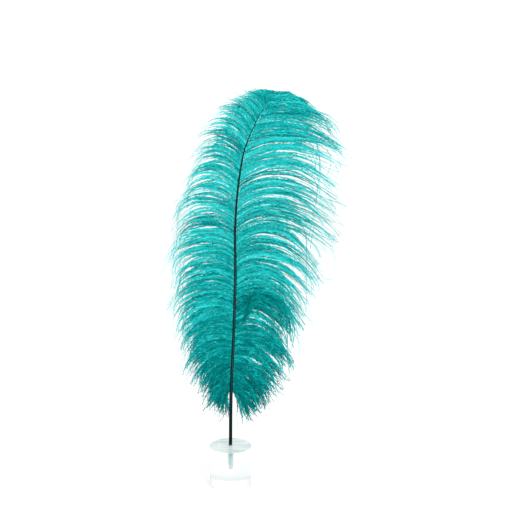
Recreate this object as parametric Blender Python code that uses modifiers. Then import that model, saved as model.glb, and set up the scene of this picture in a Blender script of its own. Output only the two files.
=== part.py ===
"""An ostrich plume standing in a clear cylindrical holder.

Run with: blender --background --python part.py

The frame has its origin at the centre of the holder's underside, +Z up. The plume's convex face looks
along -Y, its wide vane spreads towards +X, and its tip curls away towards +Y. All lengths are metres.
"""

import math

import bmesh
import bpy
from mathutils import Vector

MM = 0.001

# The holder: a short clear rod with a drilled socket in its top face.
HOLDER_RADIUS = 25 * MM
HOLDER_HEIGHT = 48 * MM
HOLDER_CHAMFER = 0.8 * MM
SOCKET_RADIUS = 2.7 * MM
SOCKET_DEPTH = 25 * MM
DRILL_CONE_DEPTH = 1.6 * MM
HOLDER_STEPS = 96

# The gap kept wherever two separate pieces meet.
CONTACT_GAP = 0.3 * MM

# The shaft, from the foot of the quill in its socket to the tip that curls over backwards: the place of its
# centre line (x, y, z) and half its width, in millimetres.
SHAFT = [
    Vector((-0.5, 0, 23.4, 1.0)),
    Vector((-0.3, 0, 32, 1.9)),
    Vector((0, 0, 48, 2.05)),
    Vector((1, 0, 116, 2.05)),
    Vector((4, 0, 178, 1.9)),
    Vector((6.5, 0, 250, 1.65)),
    Vector((6.5, 0, 308, 1.4)),
    Vector((9.5, 1, 353, 1.15)),
    Vector((16.5, 5, 397, 0.9)),
    Vector((29, 15, 429, 0.7)),
    Vector((43, 34, 454, 0.55)),
    Vector((52, 59, 467, 0.45)),
    Vector((59, 86, 468, 0.35)),
    Vector((63, 108, 459, 0.25)),
]
VANE_START = 3  # the point of SHAFT where the first barbs grow
STEPS_PER_SPAN = 6
SHAFT_SIDES = 14
FLATNESS = 0.9  # the shaft's depth over its width
GROOVE_DEPTH = 0.45  # of the half depth, along the back of the rachis
GROOVE_WIDTH = 0.4  # of the half width

# The barbs at each point of SHAFT from VANE_START up: their length in millimetres, and their slope in degrees
# above the horizontal at the root, a third and two thirds of the way along, and at the end.
LEFT_VANE = [
    Vector((42, -22, -42, -56, -68)),
    Vector((74, 22, -18, -50, -78)),
    Vector((92, 42, -2, -28, -84)),
    Vector((91, 46, 4, -24, -86)),
    Vector((81, 55, 20, -20, -76)),
    Vector((70, 58, 36, -8, -45)),
    Vector((50, 58, 47, 18, -10)),
    Vector((29, 50, 38, 14, -4)),
    Vector((25, 24, 8, -12, -30)),
    Vector((26, 0, -20, -38, -60)),
    Vector((24, -15, -34, -52, -70)),
]
RIGHT_VANE = [
    Vector((48, -12, -28, -42, -60)),
    Vector((88, 26, -24, -50, -66)),
    Vector((113, 42, -12, -47, -62)),
    Vector((136, 44, 0, -28, -44)),
    Vector((138, 43, 2, -26, -38)),
    Vector((132, 30, 4, -20, -38)),
    Vector((116, 17, -2, -20, -44)),
    Vector((92, 12, -8, -26, -50)),
    Vector((64, 2, -16, -40, -66)),
    Vector((52, -5, -24, -46, -70)),
    Vector((38, -15, -32, -54, -74)),
]
VANE_THICKNESS = 1.5 * MM
BACKWARD_LEAN = 0.3  # how far a barb's end turns back towards +Y, as a share of its heading
STATIONS = 44  # rows of the vane sheet along the shaft
BARB_STEPS = 9  # columns of the vane sheet along a barb


def clear_scene():
    for obj in list(bpy.data.objects):
        bpy.data.objects.remove(obj, do_unlink=True)


def new_collection(name):
    collection = bpy.data.collections.new(name)
    bpy.context.scene.collection.children.link(collection)
    return collection


def finish_material(name, colour, roughness, metallic=0.0, transmission=0.0, ior=1.5):
    material = bpy.data.materials.new(name)
    material.use_nodes = True
    shader = material.node_tree.nodes["Principled BSDF"]
    shader.inputs["Base Color"].default_value = (*colour, 1.0)
    shader.inputs["Roughness"].default_value = roughness
    shader.inputs["Metallic"].default_value = metallic
    shader.inputs["Transmission Weight"].default_value = transmission
    shader.inputs["IOR"].default_value = ior
    return material


def spline_between(before, start, end, after, t):
    """The values at t, from 0 to 1, on a Catmull-Rom span."""
    return (
        start * 2
        + (end - before) * t
        + (before * 2 - start * 5 + end * 4 - after) * t**2
        + (start * 3 - before - end * 3 + after) * t**3
    ) * 0.5


def along(values, position):
    """A smooth curve through a list of vectors, read at a position counted in spans."""
    span = min(int(position), len(values) - 2)
    start, end = values[span], values[span + 1]
    before = values[span - 1] if span > 0 else start * 2 - end
    after = values[span + 2] if span + 2 < len(values) else end * 2 - start
    return spline_between(before, start, end, after, position - span)


def shaft_point(position):
    return along(SHAFT, position).xyz * MM


def shaft_radius(position):
    return along(SHAFT, position).w * MM


def shaft_direction(position):
    step = 0.01
    low = max(position - step, 0)
    high = min(position + step, len(SHAFT) - 1)
    return (shaft_point(high) - shaft_point(low)).normalized()


def sideways(direction):
    """The unit vector square to the shaft that points closest to +X."""
    return (Vector((1, 0, 0)) - direction * direction.x).normalized()


def shaft_section(position):
    """One ring of the shaft: round in the quill, with a groove along its back where the barbs grow."""
    centre = shaft_point(position)
    direction = shaft_direction(position)
    side = sideways(direction)
    back = direction.cross(side)
    radius = shaft_radius(position)
    grooved = min(max(position - VANE_START, 0), 1)
    ring = []
    for number in range(SHAFT_SIDES):
        angle = 2 * math.pi * number / SHAFT_SIDES
        across = math.cos(angle)
        depth = math.sin(angle)
        if depth > 0:
            depth *= 1 - GROOVE_DEPTH * grooved * math.exp(-((across / GROOVE_WIDTH) ** 2))
        ring.append(centre + side * across * radius + back * depth * radius * FLATNESS)
    return ring


def add_object(name, mesh, collection, material):
    obj = bpy.data.objects.new(name, mesh)
    collection.objects.link(obj)
    mesh.materials.append(material)
    mesh.shade_smooth()
    mesh.set_sharp_from_angle(angle=math.radians(40))
    return obj


def make_shaft(collection):
    """The quill and the rachis, grown as one: a loft from round sections to grooved ones."""
    form = bmesh.new()
    count = (len(SHAFT) - 1) * STEPS_PER_SPAN
    rings = [
        [form.verts.new(point) for point in shaft_section(number / STEPS_PER_SPAN)]
        for number in range(count + 1)
    ]
    for lower, upper in zip(rings, rings[1:]):
        for a in range(SHAFT_SIDES):
            b = (a + 1) % SHAFT_SIDES
            form.faces.new((lower[a], lower[b], upper[b], upper[a]))
    form.faces.new(list(reversed(rings[0])))
    form.faces.new(rings[-1])
    bmesh.ops.recalc_face_normals(form, faces=form.faces)
    mesh = bpy.data.meshes.new("shaft")
    form.to_mesh(mesh)
    form.free()
    horn = finish_material("dark dyed horn", (0.012, 0.03, 0.03), 0.35)
    return add_object("shaft", mesh, collection, horn)


def make_holder(collection):
    """The holder, turned from its profile: down the outside, then in under the foot to the axis."""
    top = HOLDER_HEIGHT
    floor = HOLDER_HEIGHT - SOCKET_DEPTH
    profile = [
        (0, floor - DRILL_CONE_DEPTH),
        (SOCKET_RADIUS, floor),
        (SOCKET_RADIUS, top),
        (HOLDER_RADIUS - HOLDER_CHAMFER, top),
        (HOLDER_RADIUS, top - HOLDER_CHAMFER),
        (HOLDER_RADIUS, HOLDER_CHAMFER),
        (HOLDER_RADIUS - HOLDER_CHAMFER, 0),
        (0, 0),
    ]
    mesh = bpy.data.meshes.new("holder")
    corners = [(radius, 0, height) for radius, height in profile]
    edges = [(number, number + 1) for number in range(len(corners) - 1)]
    mesh.from_pydata(corners, edges, [])
    clear = finish_material("clear acrylic", (0.97, 1.0, 1.0), 0.02, transmission=1.0, ior=1.49)
    holder = add_object("holder", mesh, collection, clear)
    turn = holder.modifiers.new("turn", "SCREW")
    turn.steps = HOLDER_STEPS
    turn.render_steps = HOLDER_STEPS
    turn.use_merge_vertices = True
    turn.merge_threshold = 0.01 * MM
    return holder


def barb_line(vane, side, station):
    """The points of one barb: it leaves the shaft, arches over and droops, turning backwards as it goes."""
    length, *slopes = along(vane, station)
    length *= MM
    position = VANE_START + station
    out = sideways(shaft_direction(position)) * side
    clearance = shaft_radius(position) + CONTACT_GAP
    point = shaft_point(position) + out * clearance
    points = [point]
    for number in range(BARB_STEPS):
        t = (number + 0.5) / BARB_STEPS
        angle = math.radians(along(slopes, 3 * t))
        heading = Vector((side * math.cos(angle), BACKWARD_LEAN * t, math.sin(angle)))
        point = point + heading.normalized() * length / BARB_STEPS
        points.append(point)
    return points


def make_vane(name, vane, side, collection, material):
    """One vane as a thin sheet through its barbs. side is +1 towards +X and -1 towards -X."""
    form = bmesh.new()
    bmesh.ops.create_grid(form, x_segments=BARB_STEPS, y_segments=STATIONS, size=1)
    form.verts.ensure_lookup_table()
    columns = BARB_STEPS + 1
    for row in range(STATIONS + 1):
        points = barb_line(vane, side, row / STATIONS * (len(vane) - 1))
        for column in range(columns):
            form.verts[row * columns + column].co = points[column]
    bmesh.ops.recalc_face_normals(form, faces=form.faces)
    mesh = bpy.data.meshes.new(name)
    form.to_mesh(mesh)
    form.free()
    sheet = add_object(name, mesh, collection, material)
    thicken = sheet.modifiers.new("thickness", "SOLIDIFY")
    thicken.thickness = VANE_THICKNESS
    thicken.offset = 0
    return sheet


def main():
    clear_scene()
    plume = new_collection("ostrich plume in a holder")
    make_holder(plume)
    make_shaft(plume)
    down = finish_material("dyed teal down", (0.0, 0.41, 0.4), 0.8)
    make_vane("left_vane", LEFT_VANE, -1, plume, down)
    make_vane("right_vane", RIGHT_VANE, 1, plume, down)


main()
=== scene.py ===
# %% [markdown]
# # A dyed ostrich plume in a clear holder
#
# The object is one ostrich feather, dyed teal, that stands in a short clear acrylic cylinder. This lesson
# makes what that frame leaves out: about 1500 barbs with their hundreds of thousands of barbules, the horny
# shaft with its groove, the clear block, and a finish for each.

# %% Load the frame
import math
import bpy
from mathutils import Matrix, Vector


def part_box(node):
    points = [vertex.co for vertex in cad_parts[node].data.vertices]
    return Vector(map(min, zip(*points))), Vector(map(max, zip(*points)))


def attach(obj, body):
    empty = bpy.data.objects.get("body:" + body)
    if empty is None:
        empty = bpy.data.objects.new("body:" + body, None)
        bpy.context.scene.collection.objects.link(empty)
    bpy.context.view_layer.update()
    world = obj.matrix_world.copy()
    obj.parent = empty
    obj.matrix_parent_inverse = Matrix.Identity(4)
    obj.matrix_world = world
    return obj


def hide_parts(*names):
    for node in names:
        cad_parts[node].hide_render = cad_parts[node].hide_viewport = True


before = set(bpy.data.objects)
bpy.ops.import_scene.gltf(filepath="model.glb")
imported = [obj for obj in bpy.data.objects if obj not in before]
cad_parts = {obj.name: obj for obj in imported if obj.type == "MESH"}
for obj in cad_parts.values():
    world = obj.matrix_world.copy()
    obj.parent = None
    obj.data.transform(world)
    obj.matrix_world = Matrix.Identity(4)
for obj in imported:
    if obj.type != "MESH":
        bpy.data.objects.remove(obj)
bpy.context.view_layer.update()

from types import SimpleNamespace

import bmesh
import bpy
import numpy as np
from mathutils import Matrix, Vector

MM = 0.001
BODY = "root"  # nothing moves, so every piece rides on the one body
print("frame:", ", ".join(sorted(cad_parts)))

# %% [markdown]
# ## Camera
#
# The camera comes first, because every later choice is judged through it. It stands about a metre in front
# of the plume, a little to the right, at the height of the upper vane, and looks slightly down. A short
# telephoto lens keeps the block's upright edges upright.

# %% Camera
CAMERA_PLACE = Vector((30.7, -981.4, 428.7)) * MM
CAMERA_PITCH = math.radians(8.7)  # downwards
LENS = 60  # millimetres, on a sensor 36 mm wide

camera = bpy.data.objects.new("camera", bpy.data.cameras.new("camera"))
camera.data.lens = LENS
camera.data.sensor_width = 36
camera.location = CAMERA_PLACE
camera.rotation_euler = (math.radians(90) - CAMERA_PITCH, 0, 0)
bpy.context.scene.collection.objects.link(camera)
bpy.context.scene.camera = camera
print("camera at", [round(x, 3) for x in camera.location])

# %% [markdown]
# ## Building node trees in a few words
#
# Both materials and Geometry Nodes are trees of nodes. `Value` wraps an output socket, so that arithmetic
# on it adds the Math nodes by itself, and `Tree.node` makes any other node from its type, its settings and
# what goes into its sockets.

# %% A small language for nodes
class Value:
    """An output socket of a tree that Python arithmetic works on."""

    def __init__(self, tree, socket):
        self.tree = tree
        self.socket = socket

    def out(self, name):
        """Another output of the same node."""
        return Value(self.tree, self.socket.node.outputs[name])

    def math(self, operation, *others):
        return self.tree.node("ShaderNodeMath", {"operation": operation}, dict(enumerate((self, *others))))

    def __add__(self, other):
        return self.math("ADD", other)

    def __sub__(self, other):
        return self.math("SUBTRACT", other)

    def __mul__(self, other):
        return self.math("MULTIPLY", other)

    def __truediv__(self, other):
        return self.math("DIVIDE", other)

    def __mod__(self, other):
        return self.math("FLOORED_MODULO", other)

    def __pow__(self, other):
        return self.math("POWER", other)

    def __rsub__(self, other):
        return self * -1 + other

    __radd__ = __add__
    __rmul__ = __mul__


class Tree:
    """A node tree that is written one node a line."""

    def __init__(self, tree):
        self.tree = tree
        tree.nodes.clear()

    def node(self, kind, settings=None, inputs=None, output=0):
        made = self.tree.nodes.new(kind)
        for name, setting in (settings or {}).items():
            if name == "stops":
                self.set_stops(made.color_ramp.elements, setting)
            else:
                setattr(made, name, setting)
        for key, value in (inputs or {}).items():
            self.feed(made.inputs[key], value)
        return Value(self, made.outputs[output]) if made.outputs else made

    def feed(self, socket, value):
        if isinstance(value, (list, tuple)) and value and isinstance(value[0], Value):
            for each in value:
                self.tree.links.new(each.socket, socket)
        elif isinstance(value, Value):
            self.tree.links.new(value.socket, socket)
        else:
            socket.default_value = value

    def set_stops(self, elements, stops):
        while len(elements) > 1:
            elements.remove(elements[-1])
        for number, (position, colour) in enumerate(stops):
            element = elements[0] if number == 0 else elements.new(position)
            element.position = position
            element.color = (*colour, 1)


def new_material(name):
    material = bpy.data.materials.new(name)
    material.use_nodes = True
    return material, Tree(material.node_tree)


print("helpers for nodes:", Value.__name__, Tree.__name__, new_material.__name__)

# %% [markdown]
# ## Floor and light
#
# A plume is mostly gaps, so what is behind it counts as much as the plume. A white room with a white floor
# gives the even, bright ground of a product picture. The room is a little darker far to the left and right,
# where the camera doesn't look, because clear acrylic on white shows only by what its edges bend in from the
# sides. One broad light from the front right models the locks, and a weaker one from the left keeps the
# other side from going flat.

# %% Room, floor and lights
bpy.context.scene.view_settings.view_transform = "Standard"

world = bpy.data.worlds.new("white room")
bpy.context.scene.world = world
world.use_nodes = True
room = Tree(world.node_tree)
direction = room.node("ShaderNodeSeparateXYZ", inputs={0: room.node("ShaderNodeTexCoord").out("Generated")})
brightness = room.node(
    "ShaderNodeMapRange",
    {"interpolation_type": "SMOOTHSTEP"},
    {
        "Value": direction.out("X").math("ABSOLUTE"),
        "From Min": 0.4,
        "From Max": 1.0,
        "To Min": 1.12,
        "To Max": 0.82,
    },
)
sky = room.node("ShaderNodeBackground", inputs={"Color": (1, 1, 1, 1), "Strength": brightness})
room.node("ShaderNodeOutputWorld", inputs={"Surface": sky})

FLOOR_SIDE = 8.0  # metres
FLOOR_GAP = 0.2 * MM  # below the block, so that two faces never lie in one plane
floor_mesh = bpy.data.meshes.new("floor")
form = bmesh.new()
bmesh.ops.create_grid(form, x_segments=1, y_segments=1, size=FLOOR_SIDE / 2)
form.to_mesh(floor_mesh)
form.free()
floor = bpy.data.objects.new("floor", floor_mesh)
floor_mesh.transform(Matrix.Translation((0, 0, -FLOOR_GAP)))
bpy.context.scene.collection.objects.link(floor)
white_paper, tree = new_material("white paper")
on_paper = tree.node("ShaderNodeTexCoord").out("Object")
grain = tree.node("ShaderNodeTexNoise", inputs={"Vector": on_paper, "Scale": 900.0, "Detail": 2.0})
paper_bump = tree.node("ShaderNodeBump", inputs={"Strength": 0.05, "Distance": 0.0002, "Height": grain})
paper = tree.node(
    "ShaderNodeBsdfPrincipled",
    inputs={"Base Color": (0.93, 0.93, 0.93, 1), "Roughness": 0.9, "Normal": paper_bump},
)
tree.node("ShaderNodeOutputMaterial", inputs={"Surface": paper})
floor_mesh.materials.append(white_paper)


def soft_light(name, place, target, side, power):
    """A square lamp that faces its target. Its side is in metres and its power in watts."""
    lamp = bpy.data.lights.new(name, "AREA")
    lamp.shape = "SQUARE"
    lamp.size = side
    lamp.energy = power
    light = bpy.data.objects.new(name, lamp)
    light.location = place
    light.rotation_euler = (Vector(target) - Vector(place)).to_track_quat("-Z", "Y").to_euler()
    bpy.context.scene.collection.objects.link(light)


PLUME_MIDDLE = (0.03, 0, 0.3)
soft_light("key", (0.9, -1.4, 1.3), PLUME_MIDDLE, 0.9, 17)
soft_light("fill", (-1.3, -0.9, 0.6), PLUME_MIDDLE, 1.2, 10)

# %% [markdown]
# ## The plume's plan
#
# The feather's shaft is one line through a few places, each with its half width, and a smooth curve runs
# through them. The two vanes follow from it: for each place, how long a barb is, and how steep it is at four
# points along it. The frame was drawn from the same plan, so what grows here fits it.

# %% The line of the shaft and the reach of the barbs
SHAFT = [  # x, y, z and half the width, in millimetres
    (-0.5, 0, 23.4, 1.0),
    (-0.3, 0, 32, 1.9),
    (0, 0, 48, 2.05),
    (1, 0, 116, 2.05),
    (4, 0, 178, 1.9),
    (6.5, 0, 250, 1.65),
    (6.5, 0, 308, 1.4),
    (9.5, 1, 353, 1.15),
    (16.5, 5, 397, 0.9),
    (29, 15, 429, 0.7),
    (43, 34, 454, 0.55),
    (52, 59, 467, 0.45),
    (59, 86, 468, 0.35),
    (63, 108, 459, 0.25),
]
VANE_START = 3  # the place where the first barbs grow
# A barb's length in millimetres, and its slope in degrees above the horizontal at its root, a third and two
# thirds of the way along, and its end.
LEFT_VANE = [
    (42, -22, -42, -56, -68),
    (74, 22, -18, -50, -78),
    (92, 42, -2, -28, -84),
    (91, 46, 4, -24, -86),
    (81, 55, 20, -20, -76),
    (70, 58, 36, -8, -45),
    (50, 58, 47, 18, -10),
    (29, 50, 38, 14, -4),
    (25, 24, 8, -12, -30),
    (26, 0, -20, -38, -60),
    (24, -15, -34, -52, -70),
]
RIGHT_VANE = [
    (48, -12, -28, -42, -60),
    (88, 26, -24, -50, -66),
    (113, 42, -12, -47, -62),
    (136, 44, 0, -28, -44),
    (138, 43, 2, -26, -38),
    (132, 30, 4, -20, -38),
    (116, 17, -2, -20, -44),
    (92, 12, -8, -26, -50),
    (64, 2, -16, -40, -66),
    (52, -5, -24, -46, -70),
    (38, -15, -32, -54, -74),
]


def along(rows, position):
    """A smooth Catmull-Rom curve through rows of numbers, at positions counted in rows."""
    rows = np.asarray(rows, float)
    rows = np.vstack([2 * rows[0] - rows[1], rows, 2 * rows[-1] - rows[-2]])
    position = np.asarray(position, float)
    span = np.clip(position.astype(int), 0, len(rows) - 4)
    t = (position - span)[..., None]
    before, start, end, after = (rows[span + step] for step in range(4))
    bend = (2 * before - 5 * start + 4 * end - after) * t**2
    twist = (3 * start - before - 3 * end + after) * t**3
    return (2 * start + (end - before) * t + bend + twist) / 2


def unit(vectors):
    return vectors / np.linalg.norm(vectors, axis=-1, keepdims=True)


def shaft_axes(position):
    """Where the shaft is, its half width, and its own directions: onward, to its right and to its front."""
    here = along(SHAFT, position)
    step = 0.01
    onward = unit(along(SHAFT, position + step)[..., :3] - along(SHAFT, position - step)[..., :3])
    right = unit(np.array([1.0, 0, 0]) - onward * onward[..., :1])
    front = np.cross(right, onward)
    return here[..., :3], here[..., 3], onward, right, front


def smooth_step(low, high, x):
    x = np.clip((x - low) / (high - low), 0, 1)
    return x * x * (3 - 2 * x)


def read_off(pairs, x):
    """Straight lines through pairs of x and value, read at x."""
    return np.interp(x, *zip(*pairs))


LAST_PLACE = len(SHAFT) - 1
FINE_STEPS = 1300
fine_positions = np.linspace(0, LAST_PLACE, FINE_STEPS + 1)
fine_places = along(SHAFT, fine_positions)[:, :3]
arc = np.concatenate([[0], np.cumsum(np.linalg.norm(np.diff(fine_places, axis=0), axis=1))])
print(f"the shaft is {arc[-1]:.0f} mm long")

# %% [markdown]
# ## How barbs cling together
#
# Ostrich barbs have no hooks, so each one hangs free, but loose barbs cling where they touch. Up to three
# neighbours draw into a rope, ropes into a lock, and light shows through the slits between. Further out the
# barbs change partners, which closes a slit again and makes it the shape of a lens. So every barb gets its
# place in several kinds of group here, and about one in seven is a stray that joins none.

# %% Groups of neighbours
POINTS = 19  # along one barb
STRAY_SHARE = 0.15  # of all barbs
# The gap between neighbours at their roots, in millimetres, at these heights up the vane from 0 to 1.
GAP_HEIGHTS = (0, 0.15, 0.3, 0.5, 0.75, 1)
LEFT_GAPS = (0.34, 0.48, 0.7, 0.75, 0.54, 0.42)
RIGHT_GAPS = (0.34, 0.48, 0.74, 0.92, 0.85, 0.5)
LEFT_SEED, RIGHT_SEED = 11, 12
t = np.linspace(0, 1, POINTS)  # how far out along a barb each point is
fine_heights = np.clip((fine_positions - VANE_START) / (LAST_PLACE - VANE_START), 0, 1)


def runs(rng, count, low, high):
    """Group numbers for a count of neighbours, such as 0, 0, 0, 1, 1, 2, in runs of random length."""
    lengths = rng.integers(low, high + 1, count)
    return np.repeat(np.arange(count), lengths)[:count]


def root_positions(rng, gaps):
    """Where the barbs grow, as positions along the shaft: their gap changes with height up the vane."""
    gap = np.interp(fine_heights, GAP_HEIGHTS, gaps)
    grown = np.where(fine_positions[1:] > VANE_START, np.diff(arc) / gap[1:], 0)
    grown = np.concatenate([[0], np.cumsum(grown)])
    count = int(grown[-1])
    return np.interp(np.arange(count) + 0.5 + rng.uniform(-0.3, 0.3, count), grown, fine_positions)


def start_vane(rows, side, seed, gaps):
    rng = np.random.default_rng(seed)
    position = root_positions(rng, gaps)
    count = len(position)
    vane = SimpleNamespace(side=side, rng=rng, position=position, count=count)
    vane.height = (position - VANE_START) / (LAST_PLACE - VANE_START)
    vane.length, *vane.slopes = along(rows, position - VANE_START).T
    vane.ropes = runs(rng, count, 1, 3)
    vane.locks = runs(rng, vane.ropes.max() + 1, 1, 4)[vane.ropes]
    vane.late_locks = runs(rng, vane.ropes.max() + 1, 2, 4)[vane.ropes]
    vane.sheaves = runs(rng, vane.late_locks.max() + 1, 2, 5)[vane.late_locks]
    vane.stray = rng.random(count) < STRAY_SHARE
    return vane


left = start_vane(LEFT_VANE, -1, LEFT_SEED, LEFT_GAPS)
right = start_vane(RIGHT_VANE, 1, RIGHT_SEED, RIGHT_GAPS)
print("barbs:", left.count, "on the left and", right.count, "on the right")

# %% [markdown]
# ## Each barb's own arc
#
# A barb leaves the side of the shaft at its own slope, levels out, and droops under its own weight, turning
# backwards as it goes. Neighbours differ a little, and more by group than one by one, and a slow drift
# along the shaft keeps any two stretches from looking alike.

# %% Arcs
BACKWARD_LEAN = 0.3  # how far a barb's end turns back towards +Y, as a share of its heading
LEAN_VARIES = (0.05, 0.05, 0.08, 0.05)  # from barb to barb, rope to rope, lock to lock and sheaf to sheaf
LENGTH_VARIES = (0.03, 0.03, 0.03, 0.03)
SHORTEST, LONGEST = 0.7, 1.05  # a barb's length as a share of the plan's
STRAY_TURN = (-8, 22)  # the mean and the spread of what a stray's end adds to its slope, in degrees
SKIRT_FAN = (-58, 12)  # what a rope adds to its slope in the skirt, in degrees
BEHIND_SHARE = 0.6  # of the barbs above the skirt
# For a barb's root, a third and two thirds of the way along, and its end: how many degrees the slope differs
# from barb to barb, rope to rope, lock to lock and sheaf to sheaf, then how much it drifts along the shaft,
# over how many barbs, and how much of the skirt's fan it takes up.
SLOPE_CHANGES = [
    ((1.5, 0.8, 0.6, 0.4), 1.5, 14, 0.8),
    ((2.2, 0.8, 0.7, 0.7), 1.8, 18, 1),
    ((3.2, 1.7, 2.2, 1.5), 2.2, 18, 0.9),
    ((8, 5, 8, 4), 4, 18, 0.6),
]


def vary(vane, own, rope, lock, sheaf):
    """Random numbers that neighbours share in part."""
    draw = vane.rng.normal
    return (
        draw(0, own, vane.count)
        + draw(0, rope, vane.count)[vane.ropes]
        + draw(0, lock, vane.count)[vane.locks]
        + draw(0, sheaf, vane.count)[vane.sheaves]
    )


def drift(vane, step):
    """Smooth noise along the shaft, about 1 in size, that changes over a step of barbs."""
    knots = vane.rng.normal(0, 1, (vane.count // step + 4, 1))
    return along(knots, np.arange(vane.count) / step)[:, 0]


def lay_arcs(vane):
    rng, count, side = vane.rng, vane.count, vane.side
    spread = vary(vane, *LENGTH_VARIES) + rng.uniform(-0.2, 0.05, count) * (1 - vane.stray)
    trim = (side > 0) * 0.08 * smooth_step(0.6, 0.75, vane.height)
    spread += vane.stray * (0.05 if side < 0 else -0.04) - trim
    vane.length = vane.length * np.clip(1 + spread, SHORTEST, LONGEST)
    slopes = [
        slope + vary(vane, *differs) + drifts * drift(vane, over)
        for slope, (differs, drifts, over, _) in zip(vane.slopes, SLOPE_CHANGES)
    ]
    slopes[3] = slopes[3] + vane.stray * rng.normal(*STRAY_TURN, count)
    fan = rng.uniform(*SKIRT_FAN, count)[vane.ropes] * (1 - smooth_step(0, 0.1, vane.height))
    slopes = [slope + share * fan for slope, (*_, share) in zip(slopes, SLOPE_CHANGES)]
    downy = 1 - smooth_step(0.04, 0.14, vane.height)
    slopes[2] = slopes[2] + downy * vary(vane, 8, 2, 2, 0)
    slopes[3] = slopes[3] + downy * vary(vane, 15, 4, 3, 0)
    lean = BACKWARD_LEAN + vary(vane, *LEAN_VARIES)

    between = (t[1:] + t[:-1]) / 2
    slope = np.radians(along(slopes, 3 * between)).T
    heading = np.stack([side * np.cos(slope), lean[:, None] * between, np.sin(slope)], -1)
    steps = unit(heading) * (vane.length / (POINTS - 1))[:, None, None]
    place, half_width, _, rightward, vane.front = shaft_axes(vane.position)
    # Above the skirt most barbs grow from behind the shaft. The others hide it where it gets thin.
    behind = rng.random(count) < BEHIND_SHARE * smooth_step(0.08, 0.2, vane.height)
    in_front = rng.uniform(5, 32 + 95 * smooth_step(0.5, 0.8, vane.height))
    around = np.radians(np.where(behind, rng.uniform(-75, -20, count), in_front))[:, None]
    surface = side * rightward * np.cos(around) + vane.front * np.sin(around) * 0.9
    start = place + surface * half_width[:, None] * 0.95 - behind[:, None] * unit(steps[:, 0])
    vane.paths = start[:, None] + np.concatenate([np.zeros((count, 1, 3)), np.cumsum(steps, 1)], 1)
    vane.reach = t * vane.length[:, None]

    # A slow wave along each barb, the same within a rope but for a little of its own.
    wave = rng.uniform(0, 2 * np.pi, count)[vane.ropes] + rng.normal(0, 0.4, count)
    wavelength = rng.uniform(26, 48, count)[vane.ropes]
    sway = np.sin(2 * np.pi * vane.reach / wavelength[:, None] + wave[:, None]) * (0.3 + 0.8 * t)
    sway *= smooth_step(0, 12, vane.reach)
    vane.paths += sway[..., None] * np.array([0.1, 0.7, 0.7])
    layer = rng.normal(0, 0.7, count)[vane.ropes]
    vane.paths += vane.front[:, None] * (layer[:, None] * smooth_step(2, 15, vane.reach))[..., None]


for vane in (left, right):
    lay_arcs(vane)
print("longest barb:", round(float(right.length.max())), "mm")

# %% [markdown]
# ## Ropes, locks and slits
#
# Drawing a barb towards the middle of its group by a share that grows and fades along it is all that
# clinging takes. A rope forms close to the shaft. The first locks open slits some way out, the later locks
# take over where those fade, and whole sheaves run together into the points along the plume's edge.

# %% Drawing together
# How strongly barbs cling, from 0 to 1, at heights up the vane from 0 to 1.
CLINGING = [(0.02, 0.35), (0.05, 0.15), (0.1, 0.3), (0.25, 0.88), (0.65, 0.78), (0.8, 0.28), (1, 0.15)]
LEFT_SLITS = (26, 50)  # how far out the first slits open, in millimetres
RIGHT_SLITS = (35, 80)
SLIT_LENGTH = (22, 40)
EARLY_PULL = (0.05, 0.4)  # how far a lock draws its barbs to its middle, from 0 to 1
LATE_PULL = (0.25, 0.85)
SHEAF_PULL = (0.1, 0.7)


def middles(paths, groups):
    """For each barb, the mean path of its group."""
    total = np.zeros((groups.max() + 1, *paths.shape[1:]))
    np.add.at(total, groups, paths)
    return (total / np.bincount(groups)[:, None, None])[groups]


def gather(paths, groups, pull):
    """Draw each barb towards the middle of its group, by a share that varies along it."""
    return paths + pull[..., None] * (middles(paths, groups) - paths)


def draw_together(vane, first_slits):
    rng, count, reach = vane.rng, vane.count, vane.reach
    joined = np.where(vane.stray, 0, rng.uniform(0.3, 1, count))
    joined *= read_off(CLINGING, vane.height)

    def strength(groups, limits):
        return (rng.uniform(*limits, count)[groups] * joined)[:, None]

    ropes = 0.12 * smooth_step(4, 20, reach) + 0.43 * smooth_step(20, 60, reach)
    ropes = joined[:, None] * (ropes + 0.35 * smooth_step(70, 110, reach))
    paths = gather(vane.paths, vane.ropes, ropes)
    opens = rng.uniform(*first_slits, count)[vane.locks][:, None]
    closes = opens + rng.uniform(*SLIT_LENGTH, count)[vane.locks][:, None]
    fading = smooth_step(closes, closes + 25, reach)
    print(f"slits open {opens.min():.0f} to {opens.max():.0f} mm from the shaft")
    early = strength(vane.locks, EARLY_PULL) * smooth_step(opens, opens + 18, reach) * (1 - fading)
    late = strength(vane.late_locks, LATE_PULL) * fading
    paths = gather(paths, vane.locks, early) + gather(paths, vane.late_locks, late) - paths
    paths = gather(paths, vane.sheaves, strength(vane.sheaves, SHEAF_PULL) * smooth_step(0.5, 0.95, t))
    splay = rng.normal(0, 1, (count, 1, 3)) * (1.6 + 3.5 * vane.stray[:, None, None])
    vane.paths = paths + splay * (smooth_step(0.6, 1.0, t) ** 1.5)[:, None]


draw_together(left, LEFT_SLITS)
draw_together(right, RIGHT_SLITS)

# %% [markdown]
# ## Signs of handling
#
# No plume stays combed. Low on the right three ropes in five along a short stretch of the shaft are caught
# and twisted into one dark lock, which hangs in front of the rest and leaves a thin place below it. Here and
# there a hair has slipped over its neighbours and hangs down across them. Both are what makes this plume
# this one.

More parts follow.
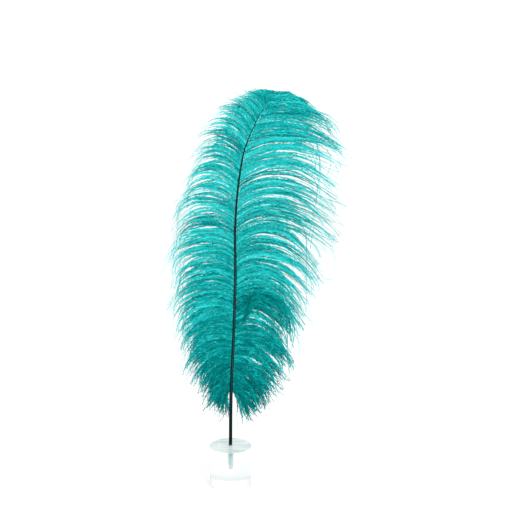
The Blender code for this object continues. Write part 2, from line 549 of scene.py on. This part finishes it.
# %% A caught lock and fallen hairs
CAUGHT_ROOTS = (192, 228)  # how high they grow, in millimetres
CAUGHT_ROPES, OF_ROPES = 3, 5  # so many in every so many
CAUGHT_WIDTH = [(0, 6), (0.15, 8), (0.35, 11), (1, 9)]  # the lock's half width in millimetres, along it
CAUGHT_DEPTH = 0.35  # of its width
CAUGHT_TWIST = 2.5  # radians along its whole length
CAUGHT_LINE = [  # the places its middle runs through, in millimetres
    (14, -3, 218),
    (27, -5, 229),
    (43, -6, 230),
    (56, -6, 223),
    (65, -5, 211),
    (69, -4, 198),
    (68, -3, 184),
]
FALLEN_HEIGHTS = (0.15, 0.58)  # up the vane, from 0 to 1
FALLS_FROM = (0.5, 0.9)  # along the barb, from 0 to 1
FALLEN_STRETCH = 0.9  # how much longer a fallen hair is past its bend, as a share
LEFT_FALLEN, RIGHT_FALLEN = 20, 34


def catch_lock(vane):
    rng = vane.rng
    low, high = CAUGHT_ROOTS
    caught = (vane.paths[:, 0, 2] > low) & (vane.paths[:, 0, 2] < high)
    caught &= vane.ropes % OF_ROPES < CAUGHT_ROPES
    number = caught.sum()
    ropes = vane.ropes[caught]
    along_line = rng.uniform(0.75, 1, vane.count)[ropes] * rng.uniform(0.9, 1, number)
    share = np.clip((t - 0.08) / 0.92, 0, 1) * along_line[:, None]
    place = share * (len(CAUGHT_LINE) - 1)
    centre = along(CAUGHT_LINE, place)
    onward = unit(along(CAUGHT_LINE, place + 0.1) - along(CAUGHT_LINE, place - 0.1))
    across = unit(np.cross(onward, (0, 1, 0)))
    begins = rng.uniform(0, 2 * np.pi, vane.count)[ropes] + rng.normal(0, 0.3, number)
    turn = begins[:, None] + CAUGHT_TWIST * share
    radius = np.sqrt(rng.random(vane.count))[ropes][:, None] * read_off(CAUGHT_WIDTH, share)
    target = centre + across * (radius * np.cos(turn))[..., None]
    target[..., 1] -= CAUGHT_DEPTH * radius * np.sin(turn)
    tousle = rng.normal(0, 1, (vane.count, 1, 3))[ropes] * 3.5 + rng.normal(0, 1, (number, 1, 3)) * 1.5
    target += tousle * (share**1.5)[..., None]
    pull = smooth_step(0.08, 0.3, t)[:, None] * rng.uniform(0.75, 1, vane.count)[ropes][:, None, None]
    vane.paths[caught] += pull * (target - vane.paths[caught])
    return caught


def drop_hairs(vane, number):
    """Turn a few barbs down part of the way along, in front of the others, and draw them out longer."""
    rng = vane.rng
    low, high = FALLEN_HEIGHTS
    able = np.flatnonzero((vane.height > low) & (vane.height < high))
    fallen = rng.choice(able, number, replace=False)
    for barb in fallen:
        falls = rng.uniform(*FALLS_FROM)
        steps = np.diff(vane.paths[barb], axis=0)
        size = np.linalg.norm(steps, axis=1, keepdims=True)
        turned = smooth_step(falls, falls + 0.2, t[1:])[:, None]
        down = unit(np.array([rng.normal(0, 0.22), -0.12, -1]))
        steps = unit(unit(steps) * (1 - turned) + down * turned) * size * (1 + FALLEN_STRETCH * turned)
        vane.paths[barb, 1:] = vane.paths[barb, 0] + np.cumsum(steps, 0)
    return np.isin(np.arange(vane.count), fallen)


left.caught = np.zeros(left.count, bool)
right.caught = catch_lock(right)
left.fallen = drop_hairs(left, LEFT_FALLEN)
right.fallen = drop_hairs(right, RIGHT_FALLEN)
print("caught:", right.caught.sum(), "and fallen:", left.fallen.sum() + right.fallen.sum())

# %% [markdown]
# ## What changes along a barb
#
# Barbules are longest near the shaft and short at the tip, where a barb ends as a bare hair. The skirt is
# downier. The skirt and the caught lock are painted darker, as painted shade of their dense barbs, the fine
# ends are painted lighter, as painted light shining through, and no two ropes took the dye quite alike.

# %% Thickness, down and tone
# A barbule's length in millimetres, and how light the barbs are, at heights up the vane from 0 to 1: the
# dye's tone, with painted shade making the dense skirt darker.
BARBULE_LENGTHS = [(0, 4.3), (0.12, 4.1), (0.2, 3.3), (0.3, 2.7), (0.5, 2.8), (0.7, 3.4), (1, 3.8)]
TONES_WITH_SKIRT_SHADE = [(0, 0.07), (0.04, 0.16), (0.1, 0.43), (0.2, 0.68), (0.35, 0.76), (0.5, 0.7), (1, 0.64)]
LEFT_THINNING, RIGHT_THINNING = 0.74, 0.66  # how much shorter the barbules are at a barb's end
BARE_THINNING = 0.13  # what a stray adds to that
TONE_VARIES = (0.15, 0.12, 0.03, 0.02)  # from barb to barb, rope to rope, lock to lock and sheaf to sheaf
# Painted shade: the caught lock is made darker, for the shade inside its dense, twisted barbs.
CAUGHT_SHADE = 0.36  # how far the caught lock's tone is below the rest


def dress(vane):
    bare = vane.stray[:, None]
    size = read_off(BARBULE_LENGTHS, vane.height)[:, None]
    size = size * (0.85 + 0.15 * smooth_step(10, 35, vane.reach))
    size = size * np.clip(1 + vane.rng.normal(0, 0.15, (vane.count, 1)), 0.6, 1.4)
    thinning = (RIGHT_THINNING if vane.side > 0 else LEFT_THINNING) + BARE_THINNING * bare
    thins = 1 - thinning * smooth_step(0.4 - 0.15 * bare, 0.92 - 0.2 * bare, t)
    vane.fluff = size * smooth_step(-6, 2, vane.reach) * thins
    vane.thickness = 0.17 - 0.05 * t + 0.06 * vane.fallen[:, None]
    vane.facing = np.broadcast_to(vane.front[:, None], vane.paths.shape)
    tone = read_off(TONES_WITH_SKIRT_SHADE, vane.height)
    tone = (tone + 0.02 + vary(vane, *TONE_VARIES))[:, None]
    # Painted light: the barbs get lighter along their length towards the fine ends, as if lit through.
    vane.tone = tone + 0.1 * smooth_step(0.1, 0.5, t) + 0.1 * smooth_step(0.6, 1, t)
    # Painted shade on the caught lock, weaker towards the barbs' ends.
    vane.tone -= CAUGHT_SHADE * vane.caught[:, None] * (1 - 0.6 * t)


for name, vane in (("left", left), ("right", right)):
    dress(vane)
    total = np.linalg.norm(np.diff(vane.paths, axis=1), axis=-1).sum()
    print(f"{name} vane: {total / 1000:.1f} m of barb in all")

# %% [markdown]
# ## Barbs and barbules
#
# Each barb is a hair-thin stem with two rows of even thinner barbules, all leaning towards its tip. That is
# one shape repeated along many paths, which is what Geometry Nodes do best. The tree sweeps a small triangle
# along every path for the stems. For the barbules it sets one thin spike, a single triangle, at even steps,
# turned at random about the stem so that they stand off it like down. Hair curves would be quicker to write,
# but a piece has to be plain mesh.

# %% The Geometry Nodes tree
def barb_tree():
    group = bpy.data.node_groups.new("barbs and barbules", "GeometryNodeTree")
    interface = group.interface
    interface.new_socket("Geometry", in_out="INPUT", socket_type="NodeSocketGeometry")
    interface.new_socket("Geometry", in_out="OUTPUT", socket_type="NodeSocketGeometry")
    for name, kind in (
        ("Gap", "NodeSocketFloat"),
        ("Slenderness", "NodeSocketFloat"),
        ("Sweep", "NodeSocketFloat"),
        ("Spread", "NodeSocketFloat"),
        ("Seed", "NodeSocketInt"),
        ("Finish", "NodeSocketMaterial"),
    ):
        interface.new_socket(name, in_out="INPUT", socket_type=kind)
    tree = Tree(group)
    given = tree.node("NodeGroupInput")

    def named(name, kind="FLOAT"):
        return tree.node("GeometryNodeInputNamedAttribute", {"data_type": kind}, {"Name": name})

    lines = tree.node("GeometryNodeMeshToCurve", inputs={"Mesh": given})
    section = tree.node("GeometryNodeCurvePrimitiveCircle", inputs={"Resolution": 3, "Radius": 1.0})
    stems = tree.node(
        "GeometryNodeCurveToMesh",
        inputs={"Curve": lines, "Profile Curve": section, "Scale": named("thickness"), "Fill Caps": True},
    )

    # One barbule, a metre long and pointing up Z: a spike that is wide at its foot.
    third = tree.node("GeometryNodeMeshCircle", {"fill_type": "NGON"}, {"Vertices": 3, "Radius": 1.0})
    slender = tree.node(
        "ShaderNodeCombineXYZ", inputs={"X": 2 / 3, "Y": given.out("Slenderness") / math.sqrt(3), "Z": 1.0}
    )
    spike = tree.node(
        "GeometryNodeTransform",
        inputs={"Geometry": third, "Scale": slender, "Rotation": (0, 0, math.radians(90))},
    )
    barbule = tree.node(
        "GeometryNodeTransform",
        inputs={"Geometry": spike, "Rotation": (math.radians(90), 0, 0), "Translation": (0, 0, 1 / 3)},
    )

    def random(low, high, number):
        inputs = {2: low, 3: high, "Seed": given.out("Seed") + number}
        return tree.node("FunctionNodeRandomValue", {"data_type": "FLOAT"}, inputs, 1)

    def turned(rotation, axis, angle):
        by = tree.node("FunctionNodeAxisAngleToRotation", inputs={"Axis": axis, "Angle": angle})
        return tree.node(
            "FunctionNodeRotateRotation",
            {"rotation_space": "LOCAL"},
            {"Rotation": rotation, "Rotate By": by},
        )

    points = tree.node(
        "GeometryNodeCurveToPoints", {"mode": "LENGTH"}, {"Curve": lines, "Length": given.out("Gap")}
    )
    tangent = points.out("Tangent")
    facing = named("facing", "FLOAT_VECTOR")
    sideways = tree.node("ShaderNodeVectorMath", {"operation": "CROSS_PRODUCT"}, {0: tangent, 1: facing})
    rotation = tree.node(
        "FunctionNodeAxesToRotation",
        {"primary_axis": "Z", "secondary_axis": "X"},
        {"Primary Axis": tangent, "Secondary Axis": sideways},
    )
    row = tree.node("GeometryNodeInputIndex") % 2
    roll = row * math.pi + given.out("Spread") * random(-1.0, 1.0, 1)
    rotation = turned(rotation, (0, 0, 1), roll)
    rotation = turned(rotation, (0, 1, 0), given.out("Sweep") * random(0.4, 1.7, 2))
    rotation = turned(rotation, (0, 0, 1), random(-0.9, 0.9, 3))
    size = named("fluff") * (0.7 + random(0.0, 1.0, 4) ** 3 * 1.1)
    points = tree.node(
        "GeometryNodeStoreNamedAttribute",
        {"data_type": "FLOAT", "domain": "POINT"},
        {"Geometry": points, "Name": "tone", "Value": named("tone") + random(-0.38, 0.38, 5)},
    )
    barbules = tree.node(
        "GeometryNodeInstanceOnPoints",
        inputs={"Points": points, "Instance": barbule, "Rotation": rotation, "Scale": size},
    )
    everything = tree.node("GeometryNodeJoinGeometry", inputs={"Geometry": [stems, barbules]})
    realized = tree.node("GeometryNodeRealizeInstances", inputs={"Geometry": everything})
    finished = tree.node(
        "GeometryNodeSetMaterial", inputs={"Geometry": realized, "Material": given.out("Finish")}
    )
    tree.node("NodeGroupOutput", inputs={"Geometry": finished})
    return group


barbs_and_barbules = barb_tree()
print("tree:", len(barbs_and_barbules.nodes), "nodes")

# %% [markdown]
# ## The dyed down
#
# Dyed down is matt and deeply coloured, and it hardly shines: any gloss would put a white haze over the
# teal. Its colour comes from the attribute `tone` that travels with each barb. That is the dye's tone, which
# differs at random, with painted shade darkening the thick skirt and the caught lock, and painted light
# brightening the fine ends.

# %% Finish of the barbs
dyed_down, tree = new_material("dyed down")
tone = tree.node("ShaderNodeAttribute", {"attribute_name": "tone"}).out("Fac")
where = tree.node("ShaderNodeTexCoord").out("Object")
mottle = tree.node("ShaderNodeTexNoise", inputs={"Vector": where, "Scale": 220.0, "Detail": 3.0})
colour = tree.node(
    "ShaderNodeValToRGB",
    {
        "stops": [
            (0.0, (0.0, 0.15, 0.148)),
            (0.35, (0.0, 0.25, 0.247)),
            (0.6, (0.001, 0.36, 0.355)),
            (0.8, (0.008, 0.48, 0.475)),
            (1.0, (0.035, 0.66, 0.65)),
        ]
    },
    {"Fac": tone + (mottle - 0.5) * 0.25},
)
down = tree.node(
    "ShaderNodeBsdfPrincipled",
    inputs={"Base Color": colour, "Roughness": 0.75, "Specular IOR Level": 0.03},
)
tree.node("ShaderNodeOutputMaterial", inputs={"Surface": down})
print(dyed_down.name + ":", len(dyed_down.node_tree.nodes), "nodes")

# %% [markdown]
# ## Growing the vanes
#
# The barbs of one vane go into the tree a batch at a time, so that no piece grows too heavy to store. A
# batch is one mesh of plain lines that carries the attributes. The modifier's result is kept as a plain
# mesh, and the lines and the modifier are thrown away.

# %% From lines to pieces
LEFT_PIECES, RIGHT_PIECES = 3, 4
FIRST_SEED = 100  # of a vane's pieces, in the tree
BARBULE_INPUTS = {
    "Gap": 0.14 * MM,
    "Slenderness": 0.18,
    "Sweep": math.radians(22),
    "Spread": math.radians(50),
    "Finish": dyed_down,
}


def lines_object(name, vane, batch):
    paths = vane.paths[batch] * MM
    count, points = paths.shape[:2]
    index = np.arange(count * points).reshape(count, points)
    edges = np.stack([index[:, :-1].ravel(), index[:, 1:].ravel()], 1)
    mesh = bpy.data.meshes.new(name)
    mesh.from_pydata(paths.reshape(-1, 3), edges, [])
    for attribute in ("fluff", "thickness", "tone"):
        scale = 1 if attribute == "tone" else MM
        layer = mesh.attributes.new(attribute, "FLOAT", "POINT")
        values = getattr(vane, attribute)[batch] * scale
        layer.data.foreach_set("value", values.ravel().astype(np.float32))
    layer = mesh.attributes.new("facing", "FLOAT_VECTOR", "POINT")
    layer.data.foreach_set("vector", vane.facing[batch].ravel().astype(np.float32))
    lines = bpy.data.objects.new(name, mesh)
    bpy.context.scene.collection.objects.link(lines)
    return lines


def grow_piece(name, vane, batch, node, seed):
    lines = lines_object("lines of " + name, vane, batch)
    modifier = lines.modifiers.new("barbs and barbules", "NODES")
    modifier.node_group = barbs_and_barbules
    values = {**BARBULE_INPUTS, "Seed": seed}
    for socket in barbs_and_barbules.interface.items_tree:
        if socket.in_out == "INPUT" and socket.name in values:
            modifier[socket.identifier] = values[socket.name]
    graph = bpy.context.evaluated_depsgraph_get()
    mesh = bpy.data.meshes.new_from_object(lines.evaluated_get(graph))
    for attribute in ("fluff", "thickness", "facing"):
        if attribute in mesh.attributes:
            mesh.attributes.remove(mesh.attributes[attribute])
    bpy.data.objects.remove(lines)
    piece = bpy.data.objects.new(name, mesh)
    bpy.context.scene.collection.objects.link(piece)
    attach(piece, BODY)
    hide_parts(node)
    triangles = sum(len(polygon.vertices) - 2 for polygon in mesh.polygons)
    print(f"{name}: {triangles} triangles")
    return triangles


total = 0
for node, vane, pieces in (("left_vane", left, LEFT_PIECES), ("right_vane", right, RIGHT_PIECES)):
    weight = np.cumsum(np.linalg.norm(np.diff(vane.paths, axis=1), axis=-1).sum(1))
    share = np.minimum((weight / weight[-1] * pieces).astype(int), pieces - 1)
    for number in range(pieces):
        batch = share == number
        total += grow_piece(f"{node}_barbs_{number + 1}", vane, batch, node, FIRST_SEED + number)
print("barbs in all:", total, "triangles")

# %% [markdown]
# ## The shaft
#
# The quill and the rachis that carries the barbs are one horny rod. It is round where it is bare, and from
# the first barbs up it has a groove along its back. A curve with a bevel would keep one section all the way,
# so the rod is a loft instead: rings of points across the line of the shaft, each with its own width and its
# own depth of groove. Every point also keeps how far along the rod it sits, and how close it is to a line up
# the front, right of centre, where the finish paints a highlight.

# %% Shaft
RINGS_PER_SPAN = 18
SHAFT_SIDES = 24
FLATNESS = 0.9  # the shaft's depth over its width
GROOVE_DEPTH = 0.45  # of the half depth
GROOVE_WIDTH = 0.4  # of the half width
# A highlight is painted along a line up the front of the shaft: its place across the front and its width.
HIGHLIGHT_PLACE, HIGHLIGHT_WIDTH = 0.2, 0.13  # across the front, of the half width


def make_shaft():
    position = np.linspace(0, LAST_PLACE, LAST_PLACE * RINGS_PER_SPAN + 1)
    place, half_width, _, right, front = shaft_axes(position)
    angle = 2 * np.pi * np.arange(SHAFT_SIDES) / SHAFT_SIDES
    across = np.broadcast_to(np.cos(angle), (len(position), SHAFT_SIDES))
    depth = np.broadcast_to(np.sin(angle), across.shape)
    grooved = np.clip(position - VANE_START, 0, 1)[:, None]
    groove = 1 - GROOVE_DEPTH * grooved * np.exp(-((across / GROOVE_WIDTH) ** 2))
    depth = np.where(depth > 0, depth * groove, depth) * FLATNESS
    rings = place[:, None] + half_width[:, None, None] * (
        across[..., None] * right[:, None] - depth[..., None] * front[:, None]
    )
    form = bmesh.new()
    rows = [[form.verts.new(corner * MM) for corner in ring] for ring in rings]
    for lower, upper in zip(rows, rows[1:]):
        for a in range(SHAFT_SIDES):
            b = (a + 1) % SHAFT_SIDES
            form.faces.new((lower[a], lower[b], upper[b], upper[a]))
    form.faces.new(list(reversed(rows[0])))
    form.faces.new(rows[-1])
    bmesh.ops.recalc_face_normals(form, faces=form.faces)
    mesh = bpy.data.meshes.new("shaft")
    form.to_mesh(mesh)
    form.free()
    # How close each point on the front is to the line where a highlight is painted.
    ridge = np.where(depth < 0, np.exp(-(((across - HIGHLIGHT_PLACE) / HIGHLIGHT_WIDTH) ** 2)), 0)
    for name, values in (("along", np.repeat(position, SHAFT_SIDES)), ("ridge", ridge.ravel())):
        layer = mesh.attributes.new(name, "FLOAT", "POINT")
        layer.data.foreach_set("value", values.astype(np.float32))
    mesh.shade_smooth()
    return mesh


shaft_mesh = make_shaft()
print("shaft:", len(shaft_mesh.polygons), "faces")

# %% [markdown]
# ## The dyed horn
#
# The dye took almost black in the thick part of the rod and teal in the thin tip, and the end that sits in
# the socket is pale. One ramp along the rod says all of that. Where the rod stands clear of the down, a
# lighter line is painted up its front, in fine streaks along the grain: a painted highlight.

# %% Finish of the shaft
horn, tree = new_material("dyed horn")
along_shaft = tree.node("ShaderNodeAttribute", {"attribute_name": "along"}).out("Fac") / LAST_PLACE
ridge = tree.node("ShaderNodeAttribute", {"attribute_name": "ridge"}).out("Fac")
where = tree.node("ShaderNodeTexCoord").out("Object")
streaks = tree.node("ShaderNodeMapping", inputs={"Vector": where, "Scale": (2500, 2500, 60)})
grain = tree.node("ShaderNodeTexNoise", inputs={"Vector": streaks, "Scale": 1.0, "Detail": 2.0})
dye = tree.node(
    "ShaderNodeValToRGB",
    {
        "stops": [
            (0.0, (0.85, 0.9, 0.89)),
            (0.15, (0.8, 0.88, 0.87)),
            (0.155, (0.002, 0.01, 0.01)),
            (0.32, (0.001, 0.014, 0.014)),
            (0.5, (0.0, 0.022, 0.022)),
            (0.6, (0.0, 0.03, 0.03)),
            (0.69, (0.0, 0.09, 0.089)),
            (0.77, (0.0, 0.2, 0.197)),
            (0.83, (0.0, 0.3, 0.295)),
        ]
    },
    {"Fac": along_shaft},
)
bare_stretch = tree.node(
    "ShaderNodeValToRGB",
    {"stops": [(0.2, (0, 0, 0)), (0.27, (1, 1, 1)), (0.37, (1, 1, 1)), (0.5, (0, 0, 0))]},
    {"Fac": along_shaft},
)
# Painted highlight: a lighter line up the front of the shaft where it stands clear of the down, streaked by
# the grain.
shine = ridge * bare_stretch * grain
highlight_colour = (0.05, 0.2, 0.19, 1)
colour = tree.node("ShaderNodeMix", {"data_type": "RGBA"}, {"Factor": shine, 6: dye, 7: highlight_colour}, output=2)
fibres = tree.node("ShaderNodeBump", inputs={"Strength": 0.3, "Distance": 0.0001, "Height": grain})
shell = tree.node(
    "ShaderNodeBsdfPrincipled",
    inputs={
        "Base Color": colour,
        "Roughness": 0.42 + grain * 0.2,
        "Specular IOR Level": 0.04,
        "Normal": fibres,
    },
)
tree.node("ShaderNodeOutputMaterial", inputs={"Surface": shell})
shaft = bpy.data.objects.new("shaft_horn", shaft_mesh)
shaft_mesh.materials.append(horn)
bpy.context.scene.collection.objects.link(shaft)
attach(shaft, BODY)
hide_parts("shaft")
print(horn.name + ":", len(horn.node_tree.nodes), "nodes")

# %% [markdown]
# ## The holder
#
# The holder is a length of clear acrylic rod with a hole drilled in its top face. A cylinder with a hole cut
# by a boolean would give long, poor triangles in the top, so the whole form is turned from one profile that
# runs up the drilled hole, across the top, down the outside and in under the foot. The polished side and the
# cut faces get a material each. The side is clear, and shows only by what it bends. The top and the socket
# are still matt from the saw and the drill, with faint marks in one direction, so they pass half the light
# and scatter the rest.
# The marks on the cut faces are tinted teal-grey: a painted reflection of the plume and the quill.

# %% Holder
_, HOLDER_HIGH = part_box("holder")
HOLDER_RADIUS = HOLDER_HIGH.x
HOLDER_HEIGHT = HOLDER_HIGH.z
CHAMFER = 0.4 * MM
SOCKET_RADIUS = 2.7 * MM
SOCKET_DEPTH = 25 * MM
DRILL_CONE = 1.6 * MM
HOLDER_STEPS = 160  # round the block


def make_holder():
    """The block as a turned form, with material 0 on its polished side and 1 on its cut faces."""
    top = HOLDER_HEIGHT
    profile = [
        (0, top - SOCKET_DEPTH - DRILL_CONE),
        (SOCKET_RADIUS, top - SOCKET_DEPTH),
        (SOCKET_RADIUS, top),
        (HOLDER_RADIUS - CHAMFER, top),
        (HOLDER_RADIUS, top - CHAMFER),
        (HOLDER_RADIUS, CHAMFER),
        (HOLDER_RADIUS - CHAMFER, 0),
        (0, 0),
    ]
    corners = [(radius, 0, height) for radius, height in profile]
    edges = [(number, number + 1) for number in range(len(corners) - 1)]
    mesh = bpy.data.meshes.new("holder profile")
    mesh.from_pydata(corners, edges, [])
    raw = bpy.data.objects.new("holder profile", mesh)
    bpy.context.scene.collection.objects.link(raw)
    turn = raw.modifiers.new("turn", "SCREW")
    turn.steps = turn.render_steps = HOLDER_STEPS
    turn.use_merge_vertices = True
    turn.merge_threshold = 0.01 * MM
    graph = bpy.context.evaluated_depsgraph_get()
    turned = bpy.data.meshes.new_from_object(raw.evaluated_get(graph))
    bpy.data.objects.remove(raw)
    turned.shade_smooth()
    turned.set_sharp_from_angle(angle=math.radians(30))
    for face in turned.polygons:
        in_socket = face.center.xy.length < SOCKET_RADIUS
        on_top = face.center.z > top - CHAMFER
        face.material_index = int(in_socket or on_top)
    return turned


def acrylic(name, clearness, roughness, bump_strength, bump_scale, reflected_tint):
    """Acrylic, faintly teal through its depth. The marks' scale is for X, Y and Z."""
    material, tree = new_material(name)
    where = tree.node("ShaderNodeTexCoord").out("Object")
    stretched = tree.node("ShaderNodeMapping", inputs={"Vector": where, "Scale": bump_scale})
    marks = tree.node("ShaderNodeTexNoise", inputs={"Vector": stretched, "Scale": 1.0, "Detail": 3.0})
    bump = tree.node(
        "ShaderNodeBump", inputs={"Strength": bump_strength, "Distance": 0.0005, "Height": marks}
    )
    # The marks are tinted towards the given colour, a painted reflection where it is teal-grey.
    marks_tint = tree.node("ShaderNodeValToRGB", {"stops": [(0.4, (1, 1, 1)), (0.62, reflected_tint)]}, {"Fac": marks})
    clear = tree.node(
        "ShaderNodeBsdfPrincipled",
        inputs={
            "Base Color": marks_tint,
            "Roughness": roughness,
            "Transmission Weight": clearness,
            "IOR": 1.49,
            "Normal": bump,
        },
    )
    tint = tree.node("ShaderNodeVolumeAbsorption", inputs={"Color": (0.5, 0.92, 0.92, 1), "Density": 1.5})
    tree.node("ShaderNodeOutputMaterial", inputs={"Surface": clear, "Volume": tint})
    return material


polished = acrylic("polished acrylic", 1.0, 0.02, 0.05, (60, 500, 60), (0.98, 0.99, 0.99))
# Teal-grey in the cut faces' marks: a painted reflection of the plume and the quill.
cut = acrylic("cut acrylic", 0.5, 0.2, 0.35, (25, 150, 60), (0.62, 0.76, 0.75))
holder = bpy.data.objects.new("holder_block", make_holder())
holder.data.materials.append(polished)
holder.data.materials.append(cut)
bpy.context.scene.collection.objects.link(holder)
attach(holder, BODY)
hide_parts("holder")
print(f"holder: {2000 * HOLDER_RADIUS:.0f} mm across and {1000 * HOLDER_HEIGHT:.0f} mm high")
